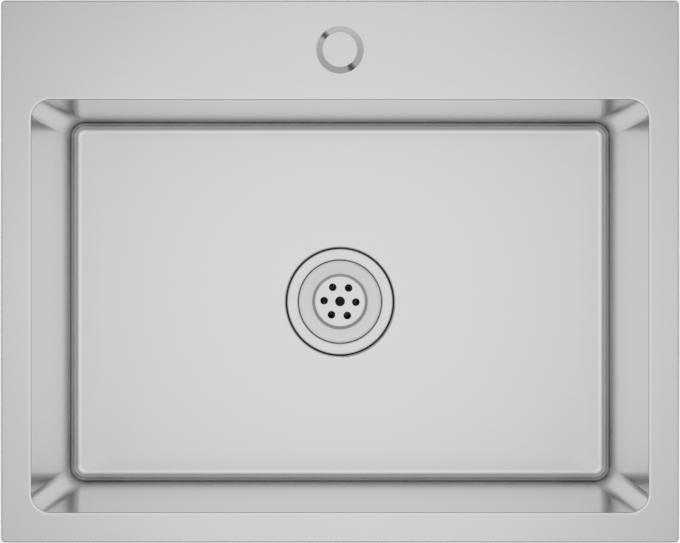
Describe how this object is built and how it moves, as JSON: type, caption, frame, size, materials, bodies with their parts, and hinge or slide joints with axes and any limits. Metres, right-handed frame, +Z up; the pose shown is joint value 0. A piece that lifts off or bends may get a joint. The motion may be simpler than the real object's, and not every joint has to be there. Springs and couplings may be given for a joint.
{
  "type": "kitchen sink",
  "caption": "Top-mount stainless steel kitchen sink with a deep square-cornered bowl, a blanked tap hole on the rear ledge and a lift-out basket waste.",
  "frame": {"origin": "middle of the panel's outline, on the worktop's surface under the rim seal", "axes": "+Z up, +Y towards the tap ledge, +X to the right as seen by the user"},
  "size_m": [0.6, 0.48, 0.345],
  "materials": {
    "brushed_panel": "straight brushed stainless steel",
    "satin_bowl": "satin brushed stainless steel",
    "polished_waste": "smooth satin stainless steel",
    "brushed_cap": "turned stainless steel",
    "zinc_steel": "zinc plated steel",
    "sound_pad": "matt bitumen rubber",
    "grey_foam": "closed-cell foam",
    "black_rubber": "moulded rubber",
    "grey_plastic": "moulded polypropylene",
    "white_plastic": "moulded polypropylene"
  },
  "bodies": {
    "root": {"deck_panel": "brushed_panel", "bowl": "satin_bowl", "rim_seal": "grey_foam", "floor_pad_left": "sound_pad", "floor_pad_right": "sound_pad", "left_pad": "sound_pad", "right_pad": "sound_pad", "front_pad": "sound_pad", "rear_pad": "sound_pad", "strainer_body": "polished_waste", "flange_seal": "black_rubber", "drain_washer": "black_rubber", "friction_ring": "white_plastic", "lock_nut": "grey_plastic", "tailpiece_washer": "black_rubber", "tailpiece": "white_plastic", "coupling_nut": "grey_plastic", "cover_cap": "brushed_cap", "cover_seal": "black_rubber", "cover_stud": "zinc_steel", "clip_studs": "zinc_steel"},
    "basket": {"strainer_basket": "polished_waste"},
    "cover_clamp": {"cover_washer": "zinc_steel"},
    "cover_wing": {"cover_nut": "zinc_steel"},
    "left_front_clip_lift": {"left_front_washer": "zinc_steel"},
    "left_front_clip_claw": {"left_front_claw": "zinc_steel"},
    "left_front_clip_nut": {"left_front_nut": "zinc_steel"},
    "left_rear_clip_lift": {"left_rear_washer": "zinc_steel"},
    "left_rear_clip_claw": {"left_rear_claw": "zinc_steel"},
    "left_rear_clip_nut": {"left_rear_nut": "zinc_steel"},
    "right_front_clip_lift": {"right_front_washer": "zinc_steel"},
    "right_front_clip_claw": {"right_front_claw": "zinc_steel"},
    "right_front_clip_nut": {"right_front_nut": "zinc_steel"},
    "right_rear_clip_lift": {"right_rear_washer": "zinc_steel"},
    "right_rear_clip_claw": {"right_rear_claw": "zinc_steel"},
    "right_rear_clip_nut": {"right_rear_nut": "zinc_steel"}
  },
  "joints": [
    {"name": "basket_lift", "type": "slide", "parent": "root", "child": "basket", "axis": [0, 0, 1], "range_m": [0, 0.25]},
    {"name": "cover_clamp_travel", "type": "slide", "parent": "root", "child": "cover_clamp", "axis": [0, 0, 1], "range_m": [-0.02, 0]},
    {"name": "cover_wing_turn", "type": "hinge", "parent": "cover_clamp", "child": "cover_wing", "pos_m": [0, 0.196, -0.005], "axis": [0, 0, 1], "range_deg": [-7200, 0]},
    {"name": "left_front_claw_lift", "type": "slide", "parent": "root", "child": "left_front_clip_lift", "axis": [0, 0, 1], "range_m": [0, 0.032]},
    {"name": "left_front_claw_swing", "type": "hinge", "parent": "left_front_clip_lift", "child": "left_front_clip_claw", "pos_m": [-0.2812, -0.1405, -0.054], "axis": [0, 0, 1], "range_deg": [0, 180]},
    {"name": "left_front_nut_turn", "type": "hinge", "parent": "left_front_clip_lift", "child": "left_front_clip_nut", "pos_m": [-0.2812, -0.1405, -0.059], "axis": [0, 0, 1], "range_deg": [0, 11520]},
    {"name": "left_rear_claw_lift", "type": "slide", "parent": "root", "child": "left_rear_clip_lift", "axis": [0, 0, 1], "range_m": [0, 0.032]},
    {"name": "left_rear_claw_swing", "type": "hinge", "parent": "left_rear_clip_lift", "child": "left_rear_clip_claw", "pos_m": [-0.2812, 0.0795, -0.054], "axis": [0, 0, -1], "range_deg": [0, 180]},
    {"name": "left_rear_nut_turn", "type": "hinge", "parent": "left_rear_clip_lift", "child": "left_rear_clip_nut", "pos_m": [-0.2812, 0.0795, -0.059], "axis": [0, 0, 1], "range_deg": [0, 11520]},
    {"name": "right_front_claw_lift", "type": "slide", "parent": "root", "child": "right_front_clip_lift", "axis": [0, 0, 1], "range_m": [0, 0.032]},
    {"name": "right_front_claw_swing", "type": "hinge", "parent": "right_front_clip_lift", "child": "right_front_clip_claw", "pos_m": [0.2812, -0.1405, -0.054], "axis": [0, 0, -1], "range_deg": [0, 180]},
    {"name": "right_front_nut_turn", "type": "hinge", "parent": "right_front_clip_lift", "child": "right_front_clip_nut", "pos_m": [0.2812, -0.1405, -0.059], "axis": [0, 0, 1], "range_deg": [0, 11520]},
    {"name": "right_rear_claw_lift", "type": "slide", "parent": "root", "child": "right_rear_clip_lift", "axis": [0, 0, 1], "range_m": [0, 0.032]},
    {"name": "right_rear_claw_swing", "type": "hinge", "parent": "right_rear_clip_lift", "child": "right_rear_clip_claw", "pos_m": [0.2812, 0.0795, -0.054], "axis": [0, 0, 1], "range_deg": [0, 180]},
    {"name": "right_rear_nut_turn", "type": "hinge", "parent": "right_rear_clip_lift", "child": "right_rear_clip_nut", "pos_m": [0.2812, 0.0795, -0.059], "axis": [0, 0, 1], "range_deg": [0, 11520]}
  ],
  "couplings": [
    {"joint": "cover_wing_turn", "follows": "cover_clamp_travel", "rad_per_m": 6283.2},
    {"joint": "left_front_nut_turn", "follows": "left_front_claw_lift", "rad_per_m": 6283.2},
    {"joint": "left_rear_nut_turn", "follows": "left_rear_claw_lift", "rad_per_m": 6283.2},
    {"joint": "right_front_nut_turn", "follows": "right_front_claw_lift", "rad_per_m": 6283.2},
    {"joint": "right_rear_nut_turn", "follows": "right_rear_claw_lift", "rad_per_m": 6283.2}
  ]
}
